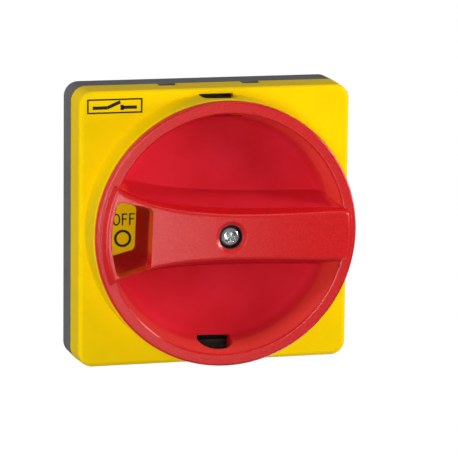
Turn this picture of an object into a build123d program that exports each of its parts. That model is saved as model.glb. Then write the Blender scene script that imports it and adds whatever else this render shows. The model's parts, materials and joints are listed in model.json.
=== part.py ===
from build123d import *
import math
import os

# Panel-mounted rotary isolator switch, millimetres.
# The shaft lies along Y. The operating head is in front of the panel (y below 0) and the
# switch body is behind it (y above 0). The origin is on the shaft axis, in the plane of the
# base's back face, which rests on the panel. +Z is up.
# Places along the shaft are given as distances in front of the panel face, so a negative
# distance is behind the panel.

# ---- driving dimensions -------------------------------------------------------------------

# head
HEAD_SIDE = 65.0
HEAD_CORNER = 3.4
BASE_DEPTH = 7.4
BASE_WALL = 2.0
BASE_FLOOR = 2.4
REVEAL = 0.3
LIP_STEP = 1.9
LIP_FRONT = 8.8
COVER_FACE = 15.5
COVER_FRONT_SIDE = 64.5
COVER_WALL = 1.8
COVER_FACE_WALL = 2.2
COVER_EDGE_FILLET = 1.1
COLLAR_R = 31.0
COLLAR_BORE_R = 29.3
COLLAR_FRONT = 24.3
MOUNT_SPACING = 48.0
MOUNT_HOLE_R = 2.1
MOUNT_BOSS_R = 4.6
MOUNT_BOSS_FRONT = 6.0
PRY_NOTCH_X = 10.0
PRY_NOTCH_WIDTH = 4.4
PRY_NOTCH_DEPTH = 2.6
COLLAR_SLOT_HALF = 4.1
COLLAR_SLOT_INNER = 25.2
COLLAR_SLOT_FRONT = 22.7
GASKET_OUTER = 60.6
GASKET_INNER = 54.6
GASKET_THICK = 1.0
HOOK_Z = 14.0
HOOK_WIDTH = 6.0
HOOK_THICK = 1.2
HOOK_BARB = 0.6

# handle
HANDLE_PLAY = 2.0
KNOB_R = 30.8
RIM_INNER_R = 28.1
RIM_FRONT = 27.0
RIM_BACK = 24.7
BOWL_R = 28.9
BOWL_BACK = 15.9
DISH_FLOOR = 17.5
DISH_FLOOR_R = 26.1
DISH_FILLET = 2.4
BAR_END_R = 29.7
BAR_END_SLOPE = 0.6
BAR_CROWN = 30.2
BAR_END_FRONT = 28.5
BAR_ROOT = 16.6
BAR_TOP = 31.0
BAR_EDGE_FILLET = 0.9
BAR_CORNER_FILLET = 3.0
KNOB_SLOT_HALF = 4.0
KNOB_SLOT_FRONT = 23.9
KNOB_SLOT_UPPER_R = 26.2
KNOB_SLOT_LOWER_R = 25.4
WINDOW_CORNER = 1.3
WINDOW_BACK_X = 19.05
WINDOW_BACK_R = 28.3
WINDOW_BACK_UPPER = (4.8, 14.3)
WINDOW_BACK_LOWER = (5.35, 15.9)
WINDOW_FRONT_X = 18.4
WINDOW_FRONT_R = 27.6
WINDOW_FRONT_UPPER = (6.7, 17.4)
WINDOW_FRONT_LOWER = (7.8, 21.0)
HUB_R = 8.5
HUB_BACK = 9.0
SOCKET_END = 22.0
SOCKET_SIDE = 6.23

# shaft line
SHAFT_SIDE = 6.0
SHAFT_FRONT = 21.8
SHAFT_BACK = -31.8
JOURNAL_R = 5.0
JOURNAL_FRONT = 8.8
JOURNAL_BACK = 0.2
TAIL_R = 3.0
TAIL_BACK = -34.0
BUSH_R = 7.0
BUSH_FRONT = 6.8
HUB_TUBE_R = 9.0
HUB_TUBE_FRONT = 8.6
RUNNING_GAP = 0.05
SLIP_GAP = 0.02

# handle screw
SCREW_HEAD_R = 2.65
SCREW_HEAD_TOP = 29.5
SCREW_HEAD_FILLET = 1.6
SCREW_RECESS_DEPTH = 1.4
SCREW_SHANK_R = 1.5
SCREW_TIP = 12.5
CUP_R = 2.85
CUP_FLOOR = 0.5
CUP_WALL = 0.15
CUP_BACK = 26.0
CUP_FRONT = 29.4
MOUTH_BACK = 29.6
MOUTH_R = 3.7

# switch body
BODY_SIDE = 42.0
BODY_CORNER = 2.5
INDEX_DEPTH = 12.0
INDEX_FLOOR = 2.5
INDEX_CAVITY_R = 13.6
WHEEL_R = 11.0
WHEEL_FRONT = -3.0
WHEEL_BACK = -9.0
NOTCH_R = 1.6
NOTCH_CENTRE_R = 11.9
STOP_HALF_ANGLE = 9.0
STOP_RIB_ANGLE = 16.0
STOP_GAP_ANGLE = 0.4
STOP_BACK = -11.6
CHAMBER_DEPTH = 10.0
CHAMBER_WALL = 1.0
REAR_DEPTH = 3.0
BODY_SCREW_Z = 17.0
TIE_SCREW_X = 16.5
SMALL_SHANK_R = 1.4
SMALL_THREAD_R = 1.45
SMALL_CLEAR_R = 1.7
SMALL_HEAD_R = 2.8

# contacts
CAM_HIGH_R = 9.5
CAM_TRAVEL = 2.5
FOLLOWER_R = 1.0
FOLLOWER_GAP = 1.06
PLUNGER_WIDTH = 5.0
PLUNGER_DEPTH = 7.2
STEM_R = 1.5
STEM_TOP = 20.6
BRIDGE_BOTTOM = 13.2
BRIDGE_THICK = 0.8
BRIDGE_HALF = 8.6
RIVET_R = 1.2
RIVET_X = 7.2
STRIP_WIDTH = 5.0
STRIP_BOTTOM = 9.0
STRIP_THICK = 0.8
CAVITY_HALF_X = 9.2
CAVITY_HALF_Z = 19.4
RECESS_INNER_X = 12.0
RECESS_TOP = 17.0
TERMINAL_X = 16.0
CLAMP_BOTTOM = 14.2
CLAMP_THICK = 1.0
SPRING_R = 2.3
SPRING_WIRE_R = 0.3
SPRING_TURNS = 4

STAGES = [(1, -INDEX_DEPTH), (2, -INDEX_DEPTH - CHAMBER_DEPTH)]
STACK_BACK = -INDEX_DEPTH - 2 * CHAMBER_DEPTH


# ---- helpers ------------------------------------------------------------------------------

def layer(front):
    """The plane square to the shaft, this far in front of the panel face; local x, y are X, Z."""
    return Plane.XZ.offset(front)


def turned(plane):
    """The same plane, turned about the shaft with the handle."""
    return Plane(
        origin=plane.origin.rotate(Axis.Y, HANDLE_PLAY),
        x_dir=plane.x_dir.rotate(Axis.Y, HANDLE_PLAY),
        z_dir=plane.z_dir.rotate(Axis.Y, HANDLE_PLAY),
    )


def arch(half_width, back, front):
    """A closed outline in a plane whose x runs across and whose y runs back: a straight-sided slot
    with a half-round front end."""
    knee = front - half_width
    with BuildLine() as outline:
        Polyline((-half_width, -knee), (-half_width, -back), (half_width, -back), (half_width, -knee))
        ThreePointArc((half_width, -knee), (0, -front), (-half_width, -knee))
    make_face(outline.edges())


def polar(radius, degrees):
    """A point in a layer, by radius and angle from +X towards +Z."""
    angle = math.radians(degrees)
    return (radius * math.cos(angle), radius * math.sin(angle))


def save(piece, name):
    """Label a finished piece and write its STEP file."""
    piece.part.label = name
    export_step(piece.part, f"parts/{name}.step")


os.makedirs("parts", exist_ok=True)


# ---- base frame ---------------------------------------------------------------------------

lip_side = HEAD_SIDE - 2 * LIP_STEP
tray_side = HEAD_SIDE - 2 * (BASE_WALL + LIP_STEP)

with BuildPart() as base_frame:
    with BuildSketch(layer(0)):
        RectangleRounded(HEAD_SIDE, HEAD_SIDE, HEAD_CORNER)
    extrude(amount=BASE_DEPTH)
    with BuildSketch(layer(BASE_DEPTH)):
        RectangleRounded(lip_side, lip_side, HEAD_CORNER - LIP_STEP)
    extrude(amount=LIP_FRONT - BASE_DEPTH)
    with BuildSketch(layer(BASE_FLOOR)):
        RectangleRounded(tray_side, tray_side, 1.0)
    extrude(amount=LIP_FRONT, mode=Mode.SUBTRACT)
    # bosses of the four fixing holes, and the hub tube that holds the bush
    with BuildSketch(layer(BASE_FLOOR)):
        with GridLocations(MOUNT_SPACING, MOUNT_SPACING, 2, 2):
            Circle(MOUNT_BOSS_R)
    extrude(amount=MOUNT_BOSS_FRONT - BASE_FLOOR)
    with BuildSketch(layer(BASE_FLOOR)):
        Circle(HUB_TUBE_R)
    extrude(amount=HUB_TUBE_FRONT - BASE_FLOOR)
    # ribs from the hub tube to the tray walls
    with BuildSketch(layer(BASE_FLOOR)):
        with PolarLocations(0, 4, start_angle=45):
            with Locations((20.0, 0)):
                Rectangle(28.0, 1.4)
    extrude(amount=MOUNT_BOSS_FRONT - BASE_FLOOR - 1.0)
    # through holes
    with BuildSketch(layer(0)):
        Circle(BUSH_R)
        with GridLocations(MOUNT_SPACING, MOUNT_SPACING, 2, 2):
            Circle(MOUNT_HOLE_R)
        with GridLocations(0, 2 * BODY_SCREW_Z, 1, 2):
            Circle(SMALL_CLEAR_R)
    extrude(amount=LIP_FRONT, mode=Mode.SUBTRACT)
    # groove for the panel gasket in the back face
    with BuildSketch(layer(0)):
        RectangleRounded(GASKET_OUTER, GASKET_OUTER, 3.0)
        RectangleRounded(GASKET_INNER, GASKET_INNER, 2.0, mode=Mode.SUBTRACT)
    extrude(amount=GASKET_THICK, mode=Mode.SUBTRACT)
    # pockets for the cover's snap hooks, in the inner faces of the two side walls
    with BuildSketch(layer(3.6)):
        with GridLocations(tray_side, 2 * HOOK_Z, 2, 2):
            Rectangle(1.8, HOOK_WIDTH + 1.0)
    extrude(amount=2.6, mode=Mode.SUBTRACT)
save(base_frame, "base_frame")

with BuildPart() as panel_gasket:
    with BuildSketch(layer(0)):
        RectangleRounded(GASKET_OUTER, GASKET_OUTER, 3.0)
        RectangleRounded(GASKET_INNER, GASKET_INNER, 2.0, mode=Mode.SUBTRACT)
    extrude(amount=GASKET_THICK)
save(panel_gasket, "panel_gasket")


# ---- front cover --------------------------------------------------------------------------

cover_back = BASE_DEPTH + REVEAL
cover_inner = HEAD_SIDE - 2 * COVER_WALL
face_back = COVER_FACE - COVER_FACE_WALL

with BuildPart() as front_cover:
    # skirt with a slight draft towards the front
    with BuildSketch(layer(cover_back)):
        RectangleRounded(HEAD_SIDE, HEAD_SIDE, HEAD_CORNER)
    with BuildSketch(layer(COVER_FACE)):
        RectangleRounded(COVER_FRONT_SIDE, COVER_FRONT_SIDE, HEAD_CORNER)
    loft()
    front_edges = front_cover.faces().sort_by(Axis.Y)[0].edges()
    fillet(front_edges, COVER_EDGE_FILLET)
    with BuildSketch(layer(cover_back)):
        RectangleRounded(cover_inner, cover_inner, HEAD_CORNER - COVER_WALL)
    extrude(amount=face_back - cover_back, mode=Mode.SUBTRACT)
    # collar around the handle
    with BuildSketch(layer(face_back)):
        Circle(COLLAR_R)
    extrude(amount=COLLAR_FRONT - face_back)
    with BuildSketch(layer(COVER_FACE)):
        Circle(COLLAR_BORE_R)
    extrude(amount=COLLAR_FRONT, mode=Mode.SUBTRACT)
    collar_rim = front_cover.faces().sort_by(Axis.Y)[0].edges()
    fillet(collar_rim, 0.3)
    with BuildSketch(layer(face_back)):
        Circle(HUB_R + 0.7)
    extrude(amount=COVER_FACE, mode=Mode.SUBTRACT)
    # padlock slots through the collar, at twelve and six o'clock
    for start in (COLLAR_BORE_R - 1.0, -COLLAR_R - 1.0):
        with BuildSketch(Plane.XY.offset(start)):
            arch(COLLAR_SLOT_HALF, COVER_FACE, COLLAR_SLOT_FRONT)
        extrude(amount=COLLAR_R - COLLAR_BORE_R + 2.0, mode=Mode.SUBTRACT)
    # the same slots continue back through the face, inside the collar's foot
    slot_depth = COLLAR_R - COLLAR_SLOT_INNER
    with BuildSketch(layer(face_back)):
        with GridLocations(0, 2 * COLLAR_SLOT_INNER + slot_depth, 1, 2):
            Rectangle(2 * COLLAR_SLOT_HALF, slot_depth)
    extrude(amount=COVER_FACE - face_back, mode=Mode.SUBTRACT)
    # pry notches in the top edge of the skirt
    with BuildSketch(layer(cover_back)):
        with GridLocations(2 * PRY_NOTCH_X, 0, 2, 1):
            with Locations((0, HEAD_SIDE / 2)):
                Rectangle(PRY_NOTCH_WIDTH, 2 * COVER_WALL + 0.6)
    extrude(amount=PRY_NOTCH_DEPTH, mode=Mode.SUBTRACT)
    # snap hooks down into the base's tray
    hook_x = tray_side / 2 - HOOK_THICK / 2 - 0.1
    with BuildSketch(layer(4.0)):
        with GridLocations(2 * hook_x, 2 * HOOK_Z, 2, 2):
            Rectangle(HOOK_THICK, HOOK_WIDTH)
    extrude(amount=face_back - 4.0)
    with BuildSketch(layer(4.2)):
        with GridLocations(2 * hook_x + HOOK_THICK, 2 * HOOK_Z, 2, 2):
            Rectangle(2 * HOOK_BARB, HOOK_WIDTH)
    extrude(amount=1.4)
save(front_cover, "front_cover")


# ---- handle -------------------------------------------------------------------------------

# The bar: its root outline is nearly straight, its front outline is narrow and flares out at
# the window end, and its front face is crowned along its length.
FRONT_HALF_WIDTHS = [(-29.8, 12.9), (-20.0, 7.5), (-9.4, 5.5), (1.0, 4.95), (15.0, 5.0), (29.8, 5.0)]
ROOT_HALF_WIDTHS = [(-29.8, 13.5), (-20.0, 11.0), (-9.4, 9.6), (1.0, 9.0), (15.0, 8.9), (29.8, 9.3)]


def bar_outline(half_widths):
    """A closed outline with mirrored long edges and straight ends."""
    upper = half_widths
    lower = [(x, -z) for x, z in half_widths]
    with BuildLine() as outline:
        Spline(*upper)
        Line(upper[-1], lower[-1])
        Spline(*reversed(lower))
        Line(lower[0], upper[0])
        fillet(outline.vertices().sort_by(Axis.X)[-2:], BAR_CORNER_FILLET)
    make_face(outline.edges())


bar_end_top = BAR_END_R - BAR_END_SLOPE * (BAR_TOP + 1 - RIM_FRONT)

with BuildPart() as bar_form:
    with BuildSketch(turned(layer(BAR_ROOT))):
        bar_outline(ROOT_HALF_WIDTHS)
    with BuildSketch(turned(layer(BAR_TOP))):
        bar_outline(FRONT_HALF_WIDTHS)
    loft()
    # crowned front
    with BuildSketch(turned(Plane.XY.offset(-20))):
        with BuildLine():
            Polyline((-30, -BAR_END_FRONT), (-30, -BAR_ROOT), (30, -BAR_ROOT), (30, -BAR_END_FRONT))
            ThreePointArc((30, -BAR_END_FRONT), (0, -BAR_CROWN), (-30, -BAR_END_FRONT))
        make_face()
    extrude(amount=40, mode=Mode.INTERSECT)
    # round ends: inside the collar at the root, just inside the rim's edge at the front
    with BuildSketch(turned(Plane.XY)):
        with BuildLine():
            Polyline(
                (0, -BAR_ROOT), (BOWL_R - 0.5, -BAR_ROOT), (BOWL_R - 0.5, -RIM_BACK - 0.6),
                (BAR_END_R, -RIM_BACK - 0.6), (BAR_END_R, -RIM_FRONT),
                (bar_end_top, -BAR_TOP - 1), (0, -BAR_TOP - 1), close=True,
            )
        make_face()
    revolve(axis=Axis.Y, mode=Mode.INTERSECT)
    crown_face = bar_form.faces().sort_by(Axis.Y)[0]
    fillet(crown_face.edges(), BAR_EDGE_FILLET)


def window_outline(inner_x, outer_r, upper, lower):
    """A sector-like opening at the window end of the bar (towards -X), with round corners.
    Upper and lower give the half height at the inner side and the angle at the outer side."""
    top = polar(outer_r, 180 - upper[1])
    bottom = polar(outer_r, 180 + lower[1])
    with BuildLine() as outline:
        ThreePointArc(top, (-outer_r, 0), bottom)
        Polyline(bottom, (-inner_x, -lower[0]), (-inner_x, upper[0]), top)
        fillet(outline.vertices(), WINDOW_CORNER)
    make_face(outline.edges())


with BuildPart() as handle:
    # rim and bowl
    with BuildSketch(turned(Plane.XY)):
        with BuildLine():
            Polyline(
                (0, -BOWL_BACK), (BOWL_R, -BOWL_BACK), (BOWL_R, -RIM_BACK), (KNOB_R, -RIM_BACK),
                (KNOB_R, -RIM_FRONT), (RIM_INNER_R, -RIM_FRONT), (DISH_FLOOR_R, -DISH_FLOOR),
                (0, -DISH_FLOOR), close=True,
            )
        make_face()
    revolve(axis=Axis.Y)
    rim_edges = handle.edges().filter_by(GeomType.CIRCLE)
    fillet(rim_edges.filter_by(lambda e: abs(e.radius - DISH_FLOOR_R) < 0.01), DISH_FILLET)
    fillet(rim_edges.filter_by(lambda e: abs(e.radius - KNOB_R) < 0.01), 0.5)
    fillet(rim_edges.filter_by(lambda e: abs(e.radius - RIM_INNER_R) < 0.01), 0.35)
    # padlock slots through the floor and wall of the dish, at twelve and six o'clock
    for start, length in (
        (KNOB_SLOT_UPPER_R, BOWL_R + 1.0 - KNOB_SLOT_UPPER_R),
        (-BOWL_R - 1.0, BOWL_R + 1.0 - KNOB_SLOT_LOWER_R),
    ):
        with BuildSketch(turned(Plane.XY.offset(start))):
            arch(KNOB_SLOT_HALF, BOWL_BACK - 0.5, KNOB_SLOT_FRONT)
        extrude(amount=length, mode=Mode.SUBTRACT)
    add(bar_form.part)
    # hub behind the bowl, with a square socket for the shaft
    with BuildSketch(layer(HUB_BACK)):
        Circle(HUB_R)
    extrude(amount=DISH_FLOOR - HUB_BACK)
    with BuildSketch(turned(layer(HUB_BACK))):
        Rectangle(SOCKET_SIDE, SOCKET_SIDE)
    extrude(amount=SOCKET_END - HUB_BACK, mode=Mode.SUBTRACT)
    # screw hole, the counterbore for its cup and the bevelled mouth
    with BuildSketch(layer(HUB_BACK)):
        Circle(SMALL_CLEAR_R)
    extrude(amount=BAR_TOP, mode=Mode.SUBTRACT)
    with BuildSketch(layer(CUP_BACK)):
        Circle(CUP_R)
    extrude(amount=BAR_TOP, mode=Mode.SUBTRACT)
    with BuildSketch(Plane.XY):
        with BuildLine():
            Polyline(
                (0, -MOUTH_BACK), (CUP_R, -MOUTH_BACK), (MOUTH_R, -BAR_CROWN), (MOUTH_R, -BAR_TOP),
                (0, -BAR_TOP), close=True,
            )
        make_face()
    revolve(axis=Axis.Y, mode=Mode.SUBTRACT)
    # tapered window through the bar's flared end, down to the legend on the cover
    with BuildSketch(turned(layer(BOWL_BACK - 0.1))):
        window_outline(WINDOW_BACK_X, WINDOW_BACK_R, WINDOW_BACK_UPPER, WINDOW_BACK_LOWER)
    with BuildSketch(turned(layer(BAR_TOP))):
        window_outline(WINDOW_FRONT_X, WINDOW_FRONT_R, WINDOW_FRONT_UPPER, WINDOW_FRONT_LOWER)
    loft(mode=Mode.SUBTRACT)
save(handle, "handle")

with BuildPart() as screw_cup:
    with BuildSketch(turned(layer(CUP_BACK))):
        Circle(CUP_R - SLIP_GAP)
    extrude(amount=CUP_FRONT - CUP_BACK)
    with BuildSketch(turned(layer(CUP_BACK + CUP_FLOOR))):
        Circle(CUP_R - CUP_WALL)
    extrude(amount=CUP_FRONT - CUP_BACK, mode=Mode.SUBTRACT)
    with BuildSketch(turned(layer(CUP_BACK))):
        Circle(SMALL_CLEAR_R)
    extrude(amount=CUP_FLOOR, mode=Mode.SUBTRACT)
save(screw_cup, "screw_cup")

head_back = CUP_BACK + CUP_FLOOR

with BuildPart() as handle_screw:
    with BuildSketch(layer(head_back)):
        Circle(SCREW_HEAD_R)
    extrude(amount=SCREW_HEAD_TOP - head_back)
    fillet(handle_screw.faces().sort_by(Axis.Y)[0].edges(), SCREW_HEAD_FILLET)
    with BuildSketch(layer(SCREW_TIP)):
        Circle(SCREW_SHANK_R)
    extrude(amount=head_back - SCREW_TIP)
    chamfer(handle_screw.faces().sort_by(Axis.Y)[-1].edges(), 0.3)
    # tapered cross recess, its wings on the diagonals
    for angle in (45, 135):
        with BuildSketch(layer(SCREW_HEAD_TOP - SCREW_RECESS_DEPTH)):
            with Locations(Location((0, 0), angle)):
                Rectangle(1.9, 0.55)
        with BuildSketch(layer(SCREW_HEAD_TOP)):
            with Locations(Location((0, 0), angle)):
                Rectangle(3.0, 0.85)
        loft(mode=Mode.SUBTRACT)
save(handle_screw, "handle_screw")


# ---- shaft line ---------------------------------------------------------------------------

with BuildPart() as drive_shaft:
    with BuildSketch(layer(SHAFT_BACK)):
        Rectangle(SHAFT_SIDE, SHAFT_SIDE)
    extrude(amount=SHAFT_FRONT - SHAFT_BACK)
    chamfer(drive_shaft.faces().sort_by(Axis.Y)[0].edges(), 0.5)
    with BuildSketch(layer(JOURNAL_BACK)):
        Circle(JOURNAL_R)
    extrude(amount=JOURNAL_FRONT - JOURNAL_BACK)
    with BuildSketch(layer(TAIL_BACK)):
        Circle(TAIL_R)
    extrude(amount=SHAFT_BACK - TAIL_BACK)
    with BuildSketch(layer(SCREW_TIP - 1.5)):
        Circle(SCREW_SHANK_R + SLIP_GAP)
    extrude(amount=SHAFT_FRONT, mode=Mode.SUBTRACT)
save(drive_shaft, "drive_shaft")

with BuildPart() as shaft_bush:
    with BuildSketch(layer(0.2)):
        Circle(BUSH_R)
        Circle(JOURNAL_R + RUNNING_GAP, mode=Mode.SUBTRACT)
    extrude(amount=BUSH_FRONT - 0.2)
    # two grease grooves in the bore
    with BuildSketch(Plane.XY):
        for front in (2.4, 4.8):
            with Locations((JOURNAL_R, -front)):
                Rectangle(0.6, 0.8)
    revolve(axis=Axis.Y, mode=Mode.SUBTRACT)
save(shaft_bush, "shaft_bush")

with BuildPart() as shaft_seal:
    # lip ring: two lips on the journal with a groove between them
    with BuildSketch(Plane.XY):
        with BuildLine():
            Polyline(
                (BUSH_R, -BUSH_FRONT), (BUSH_R, -8.4), (JOURNAL_R + 0.03, -8.4),
                (JOURNAL_R + 0.6, -7.6), (JOURNAL_R + 0.03, -BUSH_FRONT), close=True,
            )
        make_face()
    revolve(axis=Axis.Y)
save(shaft_seal, "shaft_seal")


# ---- detent stage -------------------------------------------------------------------------

with BuildPart() as index_housing:
    with BuildSketch(layer(-INDEX_DEPTH)):
        RectangleRounded(BODY_SIDE, BODY_SIDE, BODY_CORNER)
    extrude(amount=INDEX_DEPTH)
    with BuildSketch(layer(-INDEX_DEPTH)):
        Circle(INDEX_CAVITY_R)
        with GridLocations(2 * 11.75, 0, 2, 1):
            Rectangle(3.5, 26.0)
    extrude(amount=INDEX_DEPTH - INDEX_FLOOR, mode=Mode.SUBTRACT)
    # end stops: two ribs on the cavity wall, a quarter turn plus the lug apart
    rib_starts = (90 + STOP_HALF_ANGLE + STOP_GAP_ANGLE, -STOP_HALF_ANGLE - STOP_GAP_ANGLE - STOP_RIB_ANGLE)
    with BuildSketch(layer(-INDEX_DEPTH)):
        for start in rib_starts:
            with BuildLine():
                Line(polar(9.0, start), polar(INDEX_CAVITY_R + 0.3, start))
                RadiusArc(
                    polar(INDEX_CAVITY_R + 0.3, start),
                    polar(INDEX_CAVITY_R + 0.3, start + STOP_RIB_ANGLE),
                    -(INDEX_CAVITY_R + 0.3),
                )
                Line(
                    polar(INDEX_CAVITY_R + 0.3, start + STOP_RIB_ANGLE),
                    polar(9.0, start + STOP_RIB_ANGLE),
                )
                RadiusArc(polar(9.0, start + STOP_RIB_ANGLE), polar(9.0, start), 9.0)
            make_face()
    extrude(amount=INDEX_DEPTH + WHEEL_BACK - 0.2)
    # shaft bore, thread holes for the two body screws and the two tie screws
    with BuildSketch(layer(-INDEX_DEPTH)):
        Circle(JOURNAL_R - 0.4)
    extrude(amount=INDEX_DEPTH, mode=Mode.SUBTRACT)
    with BuildSketch(layer(-8.0)):
        with GridLocations(0, 2 * BODY_SCREW_Z, 1, 2):
            Circle(SMALL_THREAD_R)
    extrude(amount=8.0, mode=Mode.SUBTRACT)
    with BuildSketch(layer(-INDEX_DEPTH)):
        with GridLocations(2 * TIE_SCREW_X, 0, 2, 1):
            Circle(SMALL_THREAD_R)
    extrude(amount=7.0, mode=Mode.SUBTRACT)
save(index_housing, "index_housing")

with BuildPart() as index_wheel:
    with BuildSketch(layer(WHEEL_BACK)):
        Circle(WHEEL_R)
        with PolarLocations(NOTCH_CENTRE_R, 4):
            Circle(NOTCH_R, mode=Mode.SUBTRACT)
    extrude(amount=WHEEL_FRONT - WHEEL_BACK)
    # stop lug, at twelve o'clock at rest
    with BuildSketch(layer(STOP_BACK)):
        Circle(7.0)
        with BuildLine():
            Line((0, 0), polar(13.2, 90 - STOP_HALF_ANGLE))
            RadiusArc(polar(13.2, 90 - STOP_HALF_ANGLE), polar(13.2, 90 + STOP_HALF_ANGLE), -13.2)
            Line(polar(13.2, 90 + STOP_HALF_ANGLE), (0, 0))
        make_face()
    extrude(amount=WHEEL_BACK - STOP_BACK)
    with BuildSketch(layer(STOP_BACK)):
        Rectangle(SHAFT_SIDE + 2 * SLIP_GAP, SHAFT_SIDE + 2 * SLIP_GAP)
    extrude(amount=INDEX_DEPTH, mode=Mode.SUBTRACT)
save(index_wheel, "index_wheel")


def detent_spring(side):
    """A leaf spring beside the wheel; its middle is bent into a bump that sits in a notch."""
    leaf = [(13.0, -12.6), (12.6, -3.6), (11.2, 0), (12.6, 3.6), (13.0, 12.6)]
    with BuildPart() as spring:
        with BuildSketch(layer(WHEEL_BACK + 0.2)):
            with BuildLine():
                FilletPolyline(*[(side * x, z) for x, z in leaf], radius=[2.0, 0.9, 2.0])
            trace(line_width=0.5)
        extrude(amount=WHEEL_FRONT - WHEEL_BACK - 0.4)
    return spring


for side_name, side in (("left", -1), ("right", 1)):
    save(detent_spring(side), f"detent_spring_{side_name}")


# ---- contact stages -----------------------------------------------------------------------

def contact_chamber(front):
    """One stage moulding: a box open to the rear, with a recess for each of four terminals."""
    back = front - CHAMBER_DEPTH
    with BuildPart() as chamber:
        with BuildSketch(layer(back)):
            RectangleRounded(BODY_SIDE, BODY_SIDE, BODY_CORNER)
        extrude(amount=CHAMBER_DEPTH)
        # contact space, and the recesses that open at the sides
        recess_width = BODY_SIDE / 2 - RECESS_INNER_X + 1
        recess_height = RECESS_TOP - STRIP_BOTTOM
        with BuildSketch(layer(back)):
            Rectangle(2 * CAVITY_HALF_X, 2 * CAVITY_HALF_Z)
            Circle(CAM_HIGH_R + 0.6)
        extrude(amount=CHAMBER_DEPTH - CHAMBER_WALL, mode=Mode.SUBTRACT)
        with BuildSketch(layer(back)):
            with GridLocations(
                2 * RECESS_INNER_X + recess_width, 2 * STRIP_BOTTOM + recess_height, 2, 2
            ):
                Rectangle(recess_width, recess_height)
        extrude(amount=CHAMBER_DEPTH - 2, mode=Mode.SUBTRACT)
        # slots that hold the fixed contact strips
        strip_centre = (CAVITY_HALF_X + RECESS_INNER_X) / 2
        with BuildSketch(layer(back)):
            with GridLocations(2 * strip_centre, 2 * STRIP_BOTTOM + STRIP_THICK, 2, 2):
                Rectangle(RECESS_INNER_X - CAVITY_HALF_X + 0.2, STRIP_THICK)
        extrude(amount=CHAMBER_DEPTH / 2 + STRIP_WIDTH / 2, mode=Mode.SUBTRACT)
        # shaft bore and tie screw holes
        with BuildSketch(layer(back)):
            Circle(JOURNAL_R - 0.4)
            with GridLocations(2 * TIE_SCREW_X, 0, 2, 1):
                Circle(SMALL_CLEAR_R)
        extrude(amount=CHAMBER_DEPTH, mode=Mode.SUBTRACT)
        # guide holes for the plunger stems and access holes for the terminal screws
        middle = -(front - CHAMBER_DEPTH / 2)
        with BuildSketch(Plane.XY.offset(-BODY_SIDE / 2 - 1)):
            with Locations((0, middle)):
                Circle(STEM_R + RUNNING_GAP)
                with GridLocations(2 * TERMINAL_X, 0, 2, 1):
                    Circle(3.0)
        extrude(amount=BODY_SIDE / 2 + 1 - CAVITY_HALF_Z + 4.4, mode=Mode.SUBTRACT)
        with BuildSketch(Plane.XY.offset(BODY_SIDE / 2 + 1)):
            with Locations((0, middle)):
                Circle(STEM_R + RUNNING_GAP)
                with GridLocations(2 * TERMINAL_X, 0, 2, 1):
                    Circle(3.0)
        extrude(amount=-(BODY_SIDE / 2 + 1 - CAVITY_HALF_Z + 4.4), mode=Mode.SUBTRACT)
    return chamber


def contact_cam(front):
    """A cam with two equal lobes; its radius falls in proportion to the angle over each."""
    fall = CAM_TRAVEL / 90
    spiral = [(angle, CAM_HIGH_R - fall * (angle - 90)) for angle in range(82, 189, 6)]
    last_angle, last_radius = spiral[-1]
    with BuildPart() as cam:
        with BuildSketch(layer(front - CHAMBER_DEPTH + 1)):
            with BuildLine():
                for lobe in (0, 180):
                    Spline(*[polar(radius, angle + lobe) for angle, radius in spiral])
                    Line(polar(last_radius, last_angle + lobe), polar(spiral[0][1], 262 + lobe))
            make_face()
            Rectangle(SHAFT_SIDE + 2 * SLIP_GAP, SHAFT_SIDE + 2 * SLIP_GAP, mode=Mode.SUBTRACT)
        extrude(amount=CHAMBER_DEPTH - CHAMBER_WALL - 1.2)
    return cam


def plunger(middle, up):
    """A follower with a round nose on the cam, and a stem through the contact bridge."""
    nose = CAM_HIGH_R + FOLLOWER_GAP
    with BuildPart() as piece:
        with BuildSketch(layer(middle - PLUNGER_DEPTH / 2)):
            with Locations((0, up * nose)):
                Circle(FOLLOWER_R)
            with BuildLine():
                Polyline(
                    (-0.95, up * (nose + 0.3)), (-PLUNGER_WIDTH / 2, up * (nose + 1.6)),
                    (-PLUNGER_WIDTH / 2, up * BRIDGE_BOTTOM), (PLUNGER_WIDTH / 2, up * BRIDGE_BOTTOM),
                    (PLUNGER_WIDTH / 2, up * (nose + 1.6)), (0.95, up * (nose + 0.3)), close=True,
                )
            make_face()
        extrude(amount=PLUNGER_DEPTH)
        with BuildSketch(Plane.XY.offset(up * BRIDGE_BOTTOM)):
            with Locations((0, -middle)):
                Circle(STEM_R)
        extrude(amount=up * (STEM_TOP - BRIDGE_BOTTOM))
    return piece


def contact_bridge(middle, up):
    """The moving bridge, with a contact rivet under each end and a hole for the stem."""
    with BuildPart() as piece:
        with BuildSketch(Plane.XY.offset(up * BRIDGE_BOTTOM)):
            with Locations((0, -middle)):
                SlotOverall(2 * BRIDGE_HALF, STRIP_WIDTH - 0.6)
                Circle(STEM_R + SLIP_GAP, mode=Mode.SUBTRACT)
        extrude(amount=up * BRIDGE_THICK)
        with BuildSketch(Plane.XY.offset(up * BRIDGE_BOTTOM)):
            with Locations((-RIVET_X, -middle), (RIVET_X, -middle)):
                Circle(RIVET_R)
        extrude(amount=-up * 0.5)
    return piece


def contact_spring(middle, up):
    """A compression spring between the bridge and the chamber wall."""
    low = BRIDGE_BOTTOM + BRIDGE_THICK + SPRING_WIRE_R
    height = CAVITY_HALF_Z - low - SPRING_WIRE_R
    start = low if up > 0 else -low - height
    coil = Helix(height / SPRING_TURNS, height, SPRING_R, center=(0, -middle, start))
    with BuildPart() as piece:
        with BuildSketch(Plane(origin=coil @ 0, z_dir=coil % 0)):
            Circle(SPRING_WIRE_R - 0.02)
        sweep(path=coil, is_frenet=True)
    return piece


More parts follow.
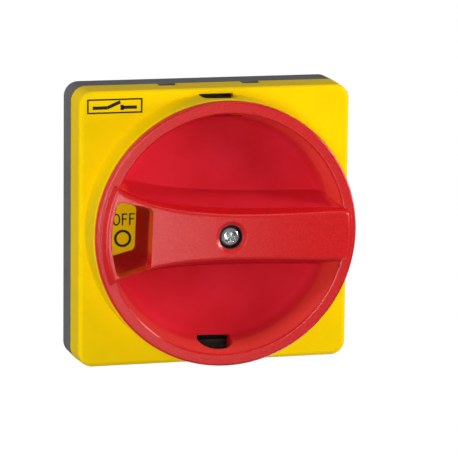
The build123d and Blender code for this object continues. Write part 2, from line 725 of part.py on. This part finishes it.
def fixed_contacts(middle, up):
    """The pair of fixed strips of one contact, each with a rivet and a tapped terminal hole."""
    strip_length = BODY_SIDE / 2 - 1.4 - 5.6
    with BuildPart() as pair:
        with BuildSketch(Plane.XY.offset(up * STRIP_BOTTOM)):
            with Locations((-5.6 - strip_length / 2, -middle), (5.6 + strip_length / 2, -middle)):
                Rectangle(strip_length, STRIP_WIDTH)
            with Locations((-TERMINAL_X, -middle), (TERMINAL_X, -middle)):
                Circle(SCREW_SHANK_R + SLIP_GAP, mode=Mode.SUBTRACT)
        extrude(amount=up * STRIP_THICK)
        with BuildSketch(Plane.XY.offset(up * (STRIP_BOTTOM + STRIP_THICK))):
            with Locations((-RIVET_X, -middle), (RIVET_X, -middle)):
                Circle(RIVET_R)
        extrude(amount=up * 0.36)
    return pair


def clamp_plates(middle, up):
    """The pair of saddle plates that the terminal screws press onto the wires."""
    with BuildPart() as pair:
        with BuildSketch(Plane.XY.offset(up * CLAMP_BOTTOM)):
            with Locations((-TERMINAL_X, -middle), (TERMINAL_X, -middle)):
                Rectangle(6.4, 5.6)
                Circle(SCREW_SHANK_R + SLIP_GAP, mode=Mode.SUBTRACT)
        extrude(amount=up * CLAMP_THICK)
    return pair


def terminal_screws(middle, up):
    """The pair of slotted terminal screws of one contact."""
    head_bottom = CLAMP_BOTTOM + CLAMP_THICK
    with BuildPart() as pair:
        with BuildSketch(Plane.XY.offset(up * STRIP_BOTTOM)):
            with Locations((-TERMINAL_X, -middle), (TERMINAL_X, -middle)):
                Circle(SCREW_SHANK_R)
        extrude(amount=up * (head_bottom - STRIP_BOTTOM))
        with BuildSketch(Plane.XY.offset(up * head_bottom)):
            with Locations((-TERMINAL_X, -middle), (TERMINAL_X, -middle)):
                Circle(2.7)
        extrude(amount=up * 1.7)
        with BuildSketch(Plane.XY.offset(up * (head_bottom + 1.7))):
            with Locations((-TERMINAL_X, -middle), (TERMINAL_X, -middle)):
                Rectangle(6.0, 0.7)
        extrude(amount=-up * 0.9, mode=Mode.SUBTRACT)
    return pair


contact_number = 0
for stage, stage_front in STAGES:
    save(contact_chamber(stage_front), f"contact_chamber_{stage}")
    save(contact_cam(stage_front), f"cam_{stage}")
    stage_middle = stage_front - CHAMBER_DEPTH / 2
    for up in (1, -1):
        contact_number += 1
        save(plunger(stage_middle, up), f"plunger_{contact_number}")
        save(contact_bridge(stage_middle, up), f"bridge_{contact_number}")
        save(contact_spring(stage_middle, up), f"contact_spring_{contact_number}")
        save(fixed_contacts(stage_middle, up), f"fixed_contacts_{contact_number}")
        save(clamp_plates(stage_middle, up), f"clamp_plates_{contact_number}")
        save(terminal_screws(stage_middle, up), f"terminal_screws_{contact_number}")


# ---- rear plate and the long fasteners ----------------------------------------------------

with BuildPart() as rear_plate:
    with BuildSketch(layer(STACK_BACK - REAR_DEPTH)):
        RectangleRounded(BODY_SIDE, BODY_SIDE, BODY_CORNER)
    extrude(amount=REAR_DEPTH)
    chamfer(rear_plate.faces().sort_by(Axis.Y)[-1].edges(), 0.6)
    with BuildSketch(layer(STACK_BACK)):
        Circle(TAIL_R + RUNNING_GAP)
    extrude(amount=-(REAR_DEPTH - 0.8), mode=Mode.SUBTRACT)
    with BuildSketch(layer(STACK_BACK)):
        with GridLocations(2 * TIE_SCREW_X, 0, 2, 1):
            Circle(SMALL_CLEAR_R)
    extrude(amount=-REAR_DEPTH, mode=Mode.SUBTRACT)
save(rear_plate, "rear_plate")


def fixing_screws(head_front, tip, spacing_x, spacing_z, facing):
    """Two slotted cheese-head screws; facing is 1 when the heads look forwards, -1 backwards."""
    columns = 2 if spacing_x else 1
    rows = 2 if spacing_z else 1
    head_height = 1.8
    with BuildPart() as screws:
        with BuildSketch(layer(head_front)):
            with GridLocations(spacing_x, spacing_z, columns, rows):
                Circle(SMALL_SHANK_R)
        extrude(amount=-facing * abs(head_front - tip))
        with BuildSketch(layer(head_front)):
            with GridLocations(spacing_x, spacing_z, columns, rows):
                Circle(SMALL_HEAD_R)
        extrude(amount=facing * head_height)
        with BuildSketch(layer(head_front + facing * head_height)):
            with GridLocations(spacing_x, spacing_z, columns, rows):
                Rectangle(2 * SMALL_HEAD_R, 0.8)
        extrude(amount=-facing * 0.9, mode=Mode.SUBTRACT)
    return screws


save(fixing_screws(BASE_FLOOR, -7.4, 0, 2 * BODY_SCREW_Z, 1), "body_screws")
save(fixing_screws(STACK_BACK - REAR_DEPTH, -5.4, 2 * TIE_SCREW_X, 0, -1), "tie_screws")
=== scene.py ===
import json
import math

import bmesh
import bpy
from mathutils import Matrix, Vector


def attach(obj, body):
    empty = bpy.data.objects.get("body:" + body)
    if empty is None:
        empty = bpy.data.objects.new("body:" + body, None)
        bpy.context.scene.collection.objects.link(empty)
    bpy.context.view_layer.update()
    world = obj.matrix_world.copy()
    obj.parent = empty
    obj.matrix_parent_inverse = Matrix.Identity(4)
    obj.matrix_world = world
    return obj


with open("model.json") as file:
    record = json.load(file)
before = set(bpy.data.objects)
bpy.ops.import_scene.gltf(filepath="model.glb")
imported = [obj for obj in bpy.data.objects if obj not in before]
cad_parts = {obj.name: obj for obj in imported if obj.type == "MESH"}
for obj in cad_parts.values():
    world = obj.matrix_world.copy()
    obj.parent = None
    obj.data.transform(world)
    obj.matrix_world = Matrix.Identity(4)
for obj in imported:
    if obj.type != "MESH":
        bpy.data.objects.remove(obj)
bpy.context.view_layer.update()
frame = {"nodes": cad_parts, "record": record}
nodes = frame["nodes"]

MM = 0.001

# places on the switch in millimetres: front is the distance ahead of the panel
COVER_FACE = 15.5
SKIN_FRONT = (26.2, 26.8)         # where the textured skin of the rim and bar begins
WALL_RADIUS = (25.2, 26.4)        # where the dish turns into its wall, which is painted paler as a painted sheen
WALL_FRONT = (18.4, 21.0)


# ---- camera -------------------------------------------------------------------------------

AZIMUTH = math.radians(15.0)      # the camera stands to the left of the shaft axis
ELEVATION = math.radians(10.63)
ROLL = math.radians(0.65)
DISTANCE = 0.788
AIM_RIGHT = 7.45 * MM
AIM_UP = -3.57 * MM
LENS = 261.8


def make_camera():
    """The camera looks at the front from the left and a little above."""
    back = Vector((
        -math.sin(AZIMUTH) * math.cos(ELEVATION),
        -math.cos(AZIMUTH) * math.cos(ELEVATION),
        math.sin(ELEVATION),
    ))
    right = Vector((math.cos(AZIMUTH), -math.sin(AZIMUTH), 0.0))
    up = back.cross(right)
    place = back * DISTANCE
    aim = right * AIM_RIGHT + up * AIM_UP
    data = bpy.data.cameras.new("camera")
    data.lens = LENS
    data.sensor_width = 36.0
    data.clip_start = 0.01
    data.clip_end = 20.0
    camera = bpy.data.objects.new("camera", data)
    bpy.context.scene.collection.objects.link(camera)
    camera.location = place
    turn = (aim - place).to_track_quat("-Z", "Y").to_matrix().to_4x4()
    roll = Matrix.Rotation(ROLL, 4, "Z")
    camera.matrix_world = Matrix.Translation(place) @ turn @ roll
    bpy.context.scene.camera = camera


make_camera()


# ---- light and stage ----------------------------------------------------------------------

def area_light(name, place, target, width, height, watts):
    """A soft, white rectangular lamp at place, facing target, that the camera doesn't see."""
    data = bpy.data.lights.new(name, "AREA")
    data.shape = "RECTANGLE"
    data.size = width
    data.size_y = height
    data.energy = watts
    lamp = bpy.data.objects.new(name, data)
    bpy.context.scene.collection.objects.link(lamp)
    lamp.location = place
    lamp.rotation_mode = "QUATERNION"
    lamp.rotation_quaternion = (Vector(target) - Vector(place)).to_track_quat("-Z", "Y")
    lamp.visible_camera = False


HANDLE = (0.0, -0.02, 0.0)
HANDLE_LEFT = (-0.02, -0.02, 0.0)

area_light("key", (0.27, -0.13, 0.06), HANDLE, 0.08, 0.08, 0.62)
area_light("front", (-0.14, -0.90, 0.0), HANDLE, 0.20, 0.20, 3.30)
area_light("upper_left", (-0.34, -0.16, 0.26), HANDLE, 0.08, 0.08, 0.50)
area_light("left_strip", (-0.45, -0.12, 0.01), HANDLE, 0.10, 0.30, 0.70)
area_light("top_strip", (0.10, -0.13, 0.43), HANDLE, 0.30, 0.04, 0.24)
area_light("low_strip", (0.16, 0.08, -0.25), HANDLE, 0.20, 0.05, 0.12)
area_light("sheen", (0.036, -0.315, -0.074), HANDLE_LEFT, 0.05, 0.05, 0.034)

world = bpy.data.worlds.new("studio")
bpy.context.scene.world = world
world.use_nodes = True
background = world.node_tree.nodes["Background"]
background.inputs["Color"].default_value = (1.0, 1.0, 1.0, 1.0)
background.inputs["Strength"].default_value = 0.22
bpy.context.scene.view_settings.view_transform = "Standard"

FLOOR_HALF = 6.0
FLOOR_LEVEL = -0.30
FLOOR_GLOW = 0.10                 # what the floor gives to the object
FLOOR_SEEN = 0.95                 # what the camera sees


def make_floor():
    """A wide pale floor below the object, which looks brighter than the light it gives back."""
    mesh = bpy.data.meshes.new("floor")
    sides = [(-1, -1), (1, -1), (1, 1), (-1, 1)]
    corners = [(x * FLOOR_HALF, y * FLOOR_HALF, FLOOR_LEVEL) for x, y in sides]
    mesh.from_pydata(corners, [], [(0, 1, 2, 3)])
    floor = bpy.data.objects.new("floor", mesh)
    bpy.context.scene.collection.objects.link(floor)
    material = bpy.data.materials.new("floor_white")
    material.use_nodes = True
    tree = material.node_tree
    shader = tree.nodes["Principled BSDF"]
    shader.inputs["Base Color"].default_value = (0.2, 0.2, 0.2, 1.0)
    shader.inputs["Roughness"].default_value = 0.9
    shader.inputs["Emission Color"].default_value = (1.0, 1.0, 1.0, 1.0)
    seen = tree.nodes.new("ShaderNodeLightPath")
    strength = tree.nodes.new("ShaderNodeMapRange")
    strength.inputs["To Min"].default_value = FLOOR_GLOW
    strength.inputs["To Max"].default_value = FLOOR_SEEN
    tree.links.new(seen.outputs["Is Camera Ray"], strength.inputs["Value"])
    tree.links.new(strength.outputs["Result"], shader.inputs["Emission Strength"])
    mesh.materials.append(material)


make_floor()


# ---- materials ----------------------------------------------------------------------------

class Look:
    """A node material under construction, with short helpers for the nodes used here."""

    def __init__(self, name):
        self.material = bpy.data.materials.new(name)
        self.material.use_nodes = True
        self.tree = self.material.node_tree
        self.shader = self.tree.nodes["Principled BSDF"]
        self.place = self.tree.nodes.new("ShaderNodeTexCoord").outputs["Object"]

    def put(self, socket, value):
        """Set an input, from a number, a colour or another node's output."""
        if isinstance(value, bpy.types.NodeSocket):
            self.tree.links.new(value, socket)
        elif isinstance(value, tuple) and len(value) == 3 and socket.type == "RGBA":
            socket.default_value = (*value, 1.0)
        else:
            socket.default_value = value

    def noise(self, size, detail=2.0, roughness=0.5, stretch=(1.0, 1.0, 1.0)):
        """Cloudy noise, 0 to 1, with blobs of that size in millimetres."""
        mapping = self.tree.nodes.new("ShaderNodeMapping")
        mapping.inputs["Scale"].default_value = stretch
        self.put(mapping.inputs["Vector"], self.place)
        node = self.tree.nodes.new("ShaderNodeTexNoise")
        self.put(node.inputs["Vector"], mapping.outputs["Vector"])
        node.inputs["Scale"].default_value = 1.0 / (size * MM)
        node.inputs["Detail"].default_value = detail
        node.inputs["Roughness"].default_value = roughness
        return node.outputs["Fac"]

    def span(self, value, low, high, new_low=0.0, new_high=1.0):
        """Stretch a value from one range to another, held at both ends."""
        node = self.tree.nodes.new("ShaderNodeMapRange")
        self.put(node.inputs["Value"], value)
        self.put(node.inputs["From Min"], low)
        self.put(node.inputs["From Max"], high)
        self.put(node.inputs["To Min"], new_low)
        self.put(node.inputs["To Max"], new_high)
        return node.outputs["Result"]

    def math(self, operation, first, second):
        """Combine two numbers with one operation."""
        node = self.tree.nodes.new("ShaderNodeMath")
        node.operation = operation
        self.put(node.inputs[0], first)
        self.put(node.inputs[1], second)
        return node.outputs["Value"]

    def mix(self, amount, first, second):
        """Blend two colours."""
        node = self.tree.nodes.new("ShaderNodeMix")
        node.data_type = "RGBA"
        self.put(node.inputs["Factor"], amount)
        self.put(node.inputs[6], first)
        self.put(node.inputs[7], second)
        return node.outputs[2]

    def axis(self, index):
        """One coordinate of the point, in millimetres: 0 across, 1 back and 2 up."""
        node = self.tree.nodes.new("ShaderNodeSeparateXYZ")
        self.put(node.inputs["Vector"], self.place)
        return self.math("MULTIPLY", node.outputs[index], 1.0 / MM)

    def soft_edges(self, radius):
        """The normal with every sharp edge rounded by that many millimetres."""
        node = self.tree.nodes.new("ShaderNodeBevel")
        node.samples = 4
        node.inputs["Radius"].default_value = radius * MM
        return node.outputs["Normal"]

    def bump(self, height, depth, normal=None):
        """Push the surface in and out by the height value, at most that many millimetres."""
        node = self.tree.nodes.new("ShaderNodeBump")
        self.put(node.inputs["Strength"], 1.0)
        self.put(node.inputs["Height"], height)
        node.inputs["Distance"].default_value = depth * MM
        if normal is not None:
            self.put(node.inputs["Normal"], normal)
        return node.outputs["Normal"]

    def set(self, **inputs):
        """Set the shader's inputs by name, with underscores for the spaces."""
        for name, value in inputs.items():
            self.put(self.shader.inputs[name.replace("_", " ")], value)
        return self.material


def moulded(name, light, dark, roughness, grain, depth, edge, specular=0.5, tint=(1.0, 1.0, 1.0)):
    """A moulded plastic: slight flow clouds in the colour, a fine grain, soft edges."""
    look = Look(name)
    clouds = look.noise(9.0, 3.0)
    speck = look.noise(grain * 2.5, 2.0)
    amount = look.math("ADD", look.math("MULTIPLY", clouds, 0.7), look.math("MULTIPLY", speck, 0.3))
    colour = look.mix(look.span(amount, 0.3, 0.7), dark, light)
    grainy = look.noise(grain, 3.0, 0.6)
    normal = look.bump(grainy, depth, look.soft_edges(edge))
    rough = look.span(look.noise(3.0, 3.0), 0.3, 0.7, roughness - 0.04, roughness + 0.05)
    return look.set(
        Base_Color=colour, Roughness=rough, Normal=normal, Specular_IOR_Level=specular, Specular_Tint=tint,
    )


def handle_red(name):
    """The handle's red: a spark-eroded texture on the bar and rim, a smoother dish below them,
    and a wall between the dish and the rim painted a paler orange red, a painted sheen."""
    look = Look(name)
    front = look.math("MULTIPLY", look.axis(1), -1.0)
    across = look.axis(0)
    upright = look.axis(2)
    square = look.math("ADD", look.math("MULTIPLY", across, across), look.math("MULTIPLY", upright, upright))
    radius = look.math("SQRT", square, 0.0)
    raised = look.span(front, *SKIN_FRONT)
    off_floor = look.span(front, *WALL_FRONT)
    wall = look.math("MULTIPLY", look.span(radius, *WALL_RADIUS), off_floor)
    fine = look.noise(0.22, 3.0, 0.65)
    coarse = look.noise(0.45, 2.0, 0.5)
    texture = look.math("ADD", look.math("MULTIPLY", fine, 0.6), look.math("MULTIPLY", coarse, 0.4))
    clouds = look.noise(10.0, 2.0)
    smooth = look.mix(look.span(clouds, 0.3, 0.7), (0.57, 0.012, 0.021), (0.64, 0.017, 0.034))
    # painted sheen: the wall between the dish and the rim gets a paler, more orange colour in place of the
    # light that falls on it
    painted_wall_sheen = look.mix(wall, smooth, (0.74, 0.050, 0.040))
    grains = look.span(texture, 0.40, 0.64)
    rough_skin = look.mix(grains, (0.47, 0.003, 0.005), (0.70, 0.008, 0.010))
    colour = look.mix(raised, painted_wall_sheen, rough_skin)
    depth = look.math("MULTIPLY", texture, look.span(raised, 0.0, 1.0, 0.10, 1.0))
    normal = look.bump(depth, 0.045, look.soft_edges(0.32))
    rough = look.span(raised, 0.0, 1.0, 0.50, 0.26)
    shine = look.span(raised, 0.0, 1.0, 0.02, 0.70)
    return look.set(
        Base_Color=colour, Roughness=rough, Normal=normal, Specular_IOR_Level=shine,
        Specular_Tint=(1.0, 0.76, 0.72),
    )


MARK_DEPTH = 0.006                # of the drawing marks in metal


def plated(name, light, dark, roughness, streak=(1.0, 1.0, 1.0), size=0.6):
    """A plated or drawn metal: cloudy plating, fine drawing marks, soft edges."""
    look = Look(name)
    clouds = look.noise(2.2, 3.0)
    marks = look.noise(size, 3.0, 0.6, streak)
    colour = look.mix(look.span(clouds, 0.3, 0.7), dark, light)
    rough = look.span(marks, 0.3, 0.7, roughness - 0.05, roughness + 0.08)
    normal = look.bump(marks, MARK_DEPTH, look.soft_edges(0.06))
    return look.set(Base_Color=colour, Metallic=1.0, Roughness=rough, Normal=normal)


def printed(name, ink, thin):
    """Pad-printed ink, slightly thin in places."""
    look = Look(name)
    amount = look.span(look.noise(0.5, 3.0), 0.35, 0.75)
    return look.set(Base_Color=look.mix(amount, ink, thin), Roughness=0.6, Specular_IOR_Level=0.1)


YELLOW = moulded("yellow_plastic", (0.90, 0.62, 0.001), (0.85, 0.575, 0.001), 0.42, 0.22, 0.012, 0.10,
                 specular=0.12, tint=(1.0, 0.8, 0.1))
RED = handle_red("red_plastic")
GREY = moulded("grey_plastic", (0.148, 0.148, 0.154), (0.118, 0.118, 0.123), 0.58, 0.28, 0.030, 0.12,
               specular=0.35)
BLACK = moulded("black_plastic", (0.026, 0.026, 0.028), (0.015, 0.015, 0.017), 0.48, 0.30, 0.025, 0.15)
WHITE = moulded("white_plastic", (0.76, 0.74, 0.69), (0.68, 0.66, 0.60), 0.42, 0.35, 0.010, 0.12)
RUBBER = moulded("black_rubber", (0.030, 0.030, 0.030), (0.020, 0.020, 0.021), 0.78, 0.22, 0.030, 0.12,
                 specular=0.25)
ZINC = plated("zinc_steel", (0.78, 0.81, 0.82), (0.55, 0.62, 0.64), 0.16)
STEEL = plated("plain_steel", (0.58, 0.57, 0.56), (0.44, 0.44, 0.44), 0.32, (1.0, 0.06, 1.0), 0.25)
SPRING = plated("spring_steel", (0.46, 0.46, 0.48), (0.34, 0.34, 0.36), 0.28, (1.0, 1.0, 0.1), 0.3)
COPPER = plated("copper", (0.80, 0.47, 0.27), (0.66, 0.36, 0.20), 0.28, (0.08, 1.0, 1.0), 0.3)
INK = printed("black_ink", (0.012, 0.012, 0.013), (0.030, 0.028, 0.022))

BY_SLOT = {
    "yellow_plastic": YELLOW, "red_plastic": RED, "grey_plastic": GREY, "black_plastic": BLACK,
    "white_plastic": WHITE, "black_rubber": RUBBER, "zinc_steel": ZINC, "plain_steel": STEEL,
    "spring_steel": SPRING, "copper": COPPER,
}

for row in frame["record"]["subparts"]:
    mesh = nodes[row["node"]].data
    mesh.materials.clear()
    mesh.materials.append(BY_SLOT[row["material_slot"]])


# ---- printed marks on the cover -----------------------------------------------------------

INK_BACK = COVER_FACE - 0.05
INK_FRONT = COVER_FACE + 0.06
STROKE = 0.34
LETTER_HEIGHT = 2.8
LETTER_WIDTHS = {"O": 1.8, "F": 1.3, "N": 1.6}
RING_STEPS = 40


def on_cover(x, z, front):
    """A point on or near the cover's face, from millimetres."""
    return Vector((x * MM, -front * MM, z * MM))


def add_plate(mesh, outline):
    """A thin plate of ink with this outline, anticlockwise seen from the front."""
    far = [mesh.verts.new(on_cover(x, z, INK_BACK)) for x, z in outline]
    near = [mesh.verts.new(on_cover(x, z, INK_FRONT)) for x, z in outline]
    mesh.faces.new(near)
    mesh.faces.new(list(reversed(far)))
    for i in range(len(outline)):
        j = (i + 1) % len(outline)
        mesh.faces.new((far[i], far[j], near[j], near[i]))


def add_stroke(mesh, start, end, width=STROKE):
    """A straight stroke between two points."""
    along = (Vector(end) - Vector(start)).normalized()
    side = Vector((-along.y, along.x)) * width / 2
    corners = [Vector(start) - side, Vector(end) - side, Vector(end) + side, Vector(start) + side]
    add_plate(mesh, [(c.x, c.y) for c in corners])


def add_ring(mesh, centre, half_width, half_height, width):
    """An oval ring, measured to its outer edge."""
    def at(angle, inset):
        """A point of the oval that lies inset from the outer edge."""
        across = (half_width - inset) * math.cos(angle)
        upright = (half_height - inset) * math.sin(angle)
        return centre[0] + across, centre[1] + upright

    for i in range(RING_STEPS):
        start = i * math.tau / RING_STEPS
        end = (i + 1) * math.tau / RING_STEPS
        add_plate(mesh, [at(start, width), at(start, 0), at(end, 0), at(end, width)])


def add_letters(mesh, letters, middle):
    """The letters O, F and N, drawn with plain strokes; each has its left edge in millimetres."""
    low = middle - LETTER_HEIGHT / 2
    high = middle + LETTER_HEIGHT / 2
    inset = STROKE / 2
    for letter, left in letters:
        right = left + LETTER_WIDTHS[letter]
        stem = left + inset
        if letter == "O":
            add_ring(mesh, ((left + right) / 2, middle), (right - left) / 2, LETTER_HEIGHT / 2, STROKE)
        if letter == "F":
            add_stroke(mesh, (stem, low), (stem, high))
            add_stroke(mesh, (left, high - inset), (right, high - inset))
            add_stroke(mesh, (left, middle + 0.1), (right - 0.15, middle + 0.1))
        if letter == "N":
            add_stroke(mesh, (stem, low), (stem, high))
            add_stroke(mesh, (right - inset, low), (right - inset, high))
            add_stroke(mesh, (stem, high - inset), (right - inset, low + inset))


def finish_piece(name, mesh, material):
    """Turn a built mesh into a piece that stays with the housing."""
    bmesh.ops.recalc_face_normals(mesh, faces=mesh.faces)
    data = bpy.data.meshes.new(name)
    mesh.to_mesh(data)
    mesh.free()
    data.materials.append(material)
    piece = bpy.data.objects.new(name, data)
    bpy.context.scene.collection.objects.link(piece)
    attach(piece, "housing")


def make_legends():
    """OFF and a ring at nine o'clock; ON and a stroke at twelve o'clock."""
    bold = 0.60
    off = bmesh.new()
    add_letters(off, [("O", -24.4), ("F", -22.25), ("F", -20.5)], 2.35)
    add_ring(off, (-22.0, -2.1), 2.05, 2.05, bold)
    finish_piece("legend_off", off, INK)
    on = bmesh.new()
    add_letters(on, [("O", -1.95), ("N", 0.35)], 24.6)
    add_stroke(on, (0.0, 19.0), (0.0, 22.4), bold)
    finish_piece("legend_on", on, INK)


def make_label():
    """A printed frame near the top left corner with a plain switch symbol in it."""
    centre_x = -24.0
    centre_z = 28.8
    half_x = 6.5
    half_z = 1.7
    line = 0.34
    marks = bmesh.new()
    for side in (-1, 1):
        z = centre_z + side * (half_z - line / 2)
        add_stroke(marks, (centre_x - half_x, z), (centre_x + half_x, z), line)
        x = centre_x + side * (half_x - line / 2)
        add_stroke(marks, (x, centre_z - half_z + line), (x, centre_z + half_z - line), line)
    # an open contact between two terminals
    bold = 0.75
    level = centre_z - 0.35
    hinge_x = centre_x - 1.8
    contact_x = centre_x + 1.7
    add_stroke(marks, (centre_x - 5.2, level), (hinge_x, level), bold)
    add_stroke(marks, (hinge_x, level), (centre_x + 1.3, centre_z + 0.95), bold)
    add_stroke(marks, (contact_x, level - 0.6), (contact_x, level + 0.6), bold)
    add_stroke(marks, (contact_x, level), (centre_x + 5.2, level), bold)
    finish_piece("label_marks", marks, INK)


make_legends()
make_label()
